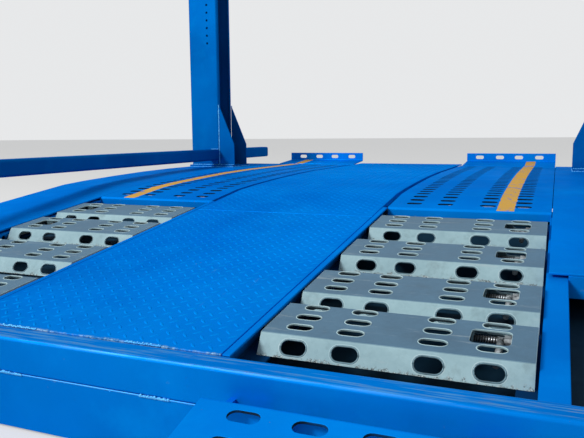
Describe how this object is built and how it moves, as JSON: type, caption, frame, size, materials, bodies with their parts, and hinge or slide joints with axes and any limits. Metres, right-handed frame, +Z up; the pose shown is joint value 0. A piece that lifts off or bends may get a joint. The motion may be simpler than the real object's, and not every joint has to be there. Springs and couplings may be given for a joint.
{
  "type": "car transporter deck section",
  "caption": "Front loading deck section of a car transporter with wheel wells, tipping planks, perforated track plates, posts and side rails.",
  "frame": {"origin": "on the floor below the middle of the bounding box, on the section's centreline", "axes": "+X to the vehicle's right, +Y forward to the cab, +Z up"},
  "size_m": [2.55, 3.7472, 2.12],
  "materials": {
    "deck_paint": "semi-gloss",
    "galvanised": "dull zinc",
    "bare_steel": "satin",
    "underseal": "matt"
  },
  "bodies": {
    "deck_frame": {"main_rail_right": "deck_paint", "main_rail_left": "deck_paint", "inner_channel_right": "deck_paint", "inner_channel_left": "deck_paint", "outer_channel_right": "deck_paint", "outer_channel_left": "deck_paint", "track_plate_right": "deck_paint", "track_plate_left": "deck_paint", "side_panel_right": "deck_paint", "side_panel_left": "deck_paint", "post_right": "deck_paint", "post_left": "deck_paint", "side_rail_right": "deck_paint", "side_rail_left": "deck_paint", "wheel_stop_right": "deck_paint", "wheel_stop_left": "deck_paint", "centre_panel_rear": "deck_paint", "centre_panel_middle": "deck_paint", "centre_panel_front": "deck_paint", "cross_members": "underseal", "outriggers": "underseal", "outer_sills": "deck_paint", "splash_guards": "underseal", "rear_beam": "deck_paint", "front_beam": "deck_paint", "flap_pins": "bare_steel", "flap_rests": "deck_paint"},
    "plank_right_1": {"plank_right_1": "galvanised", "plank_bolt_right_1": "bare_steel"},
    "plank_right_2": {"plank_right_2": "galvanised", "plank_bolt_right_2": "bare_steel"},
    "plank_right_3": {"plank_right_3": "galvanised", "plank_bolt_right_3": "bare_steel"},
    "plank_right_4": {"plank_right_4": "galvanised", "plank_bolt_right_4": "bare_steel"},
    "plank_left_1": {"plank_left_1": "galvanised", "plank_bolt_left_1": "bare_steel"},
    "plank_left_2": {"plank_left_2": "galvanised", "plank_bolt_left_2": "bare_steel"},
    "plank_left_3": {"plank_left_3": "galvanised", "plank_bolt_left_3": "bare_steel"},
    "plank_left_4": {"plank_left_4": "galvanised", "plank_bolt_left_4": "bare_steel"},
    "rear_flap_right": {"rear_flap_right": "deck_paint"},
    "rear_flap_left": {"rear_flap_left": "deck_paint"}
  },
  "joints": [
    {"name": "plank_right_1_tip", "type": "hinge", "parent": "deck_frame", "child": "plank_right_1", "pos_m": [0.362, -1.25939, 0.22483], "axis": [0, -0.9923, -0.1239], "range_deg": [0, 65]},
    {"name": "plank_right_2_tip", "type": "hinge", "parent": "deck_frame", "child": "plank_right_2", "pos_m": [0.362, -1.02918, 0.25359], "axis": [0, -0.9923, -0.1239], "range_deg": [0, 65]},
    {"name": "plank_right_3_tip", "type": "hinge", "parent": "deck_frame", "child": "plank_right_3", "pos_m": [0.362, -0.74142, 0.28953], "axis": [0, -0.9923, -0.1239], "range_deg": [0, 65]},
    {"name": "plank_right_4_tip", "type": "hinge", "parent": "deck_frame", "child": "plank_right_4", "pos_m": [0.362, -0.45365, 0.32548], "axis": [0, -0.9923, -0.1239], "range_deg": [0, 65]},
    {"name": "plank_left_1_tip", "type": "hinge", "parent": "deck_frame", "child": "plank_left_1", "pos_m": [-0.362, -1.25939, 0.22483], "axis": [0, 0.9923, 0.1239], "range_deg": [0, 65]},
    {"name": "plank_left_2_tip", "type": "hinge", "parent": "deck_frame", "child": "plank_left_2", "pos_m": [-0.362, -0.97163, 0.26078], "axis": [0, 0.9923, 0.1239], "range_deg": [0, 65]},
    {"name": "plank_left_3_tip", "type": "hinge", "parent": "deck_frame", "child": "plank_left_3", "pos_m": [-0.362, -0.68386, 0.29672], "axis": [0, 0.9923, 0.1239], "range_deg": [0, 65]},
    {"name": "plank_left_4_tip", "type": "hinge", "parent": "deck_frame", "child": "plank_left_4", "pos_m": [-0.362, -0.45365, 0.32548], "axis": [0, 0.9923, 0.1239], "range_deg": [0, 65]},
    {"name": "rear_flap_right_fold", "type": "hinge", "parent": "deck_frame", "child": "rear_flap_right", "pos_m": [0.6195, -1.5304, 0.136], "axis": [-1, 0, 0], "range_deg": [0, 58]},
    {"name": "rear_flap_left_fold", "type": "hinge", "parent": "deck_frame", "child": "rear_flap_left", "pos_m": [-0.6195, -1.5304, 0.136], "axis": [-1, 0, 0], "range_deg": [0, 58]}
  ]
}
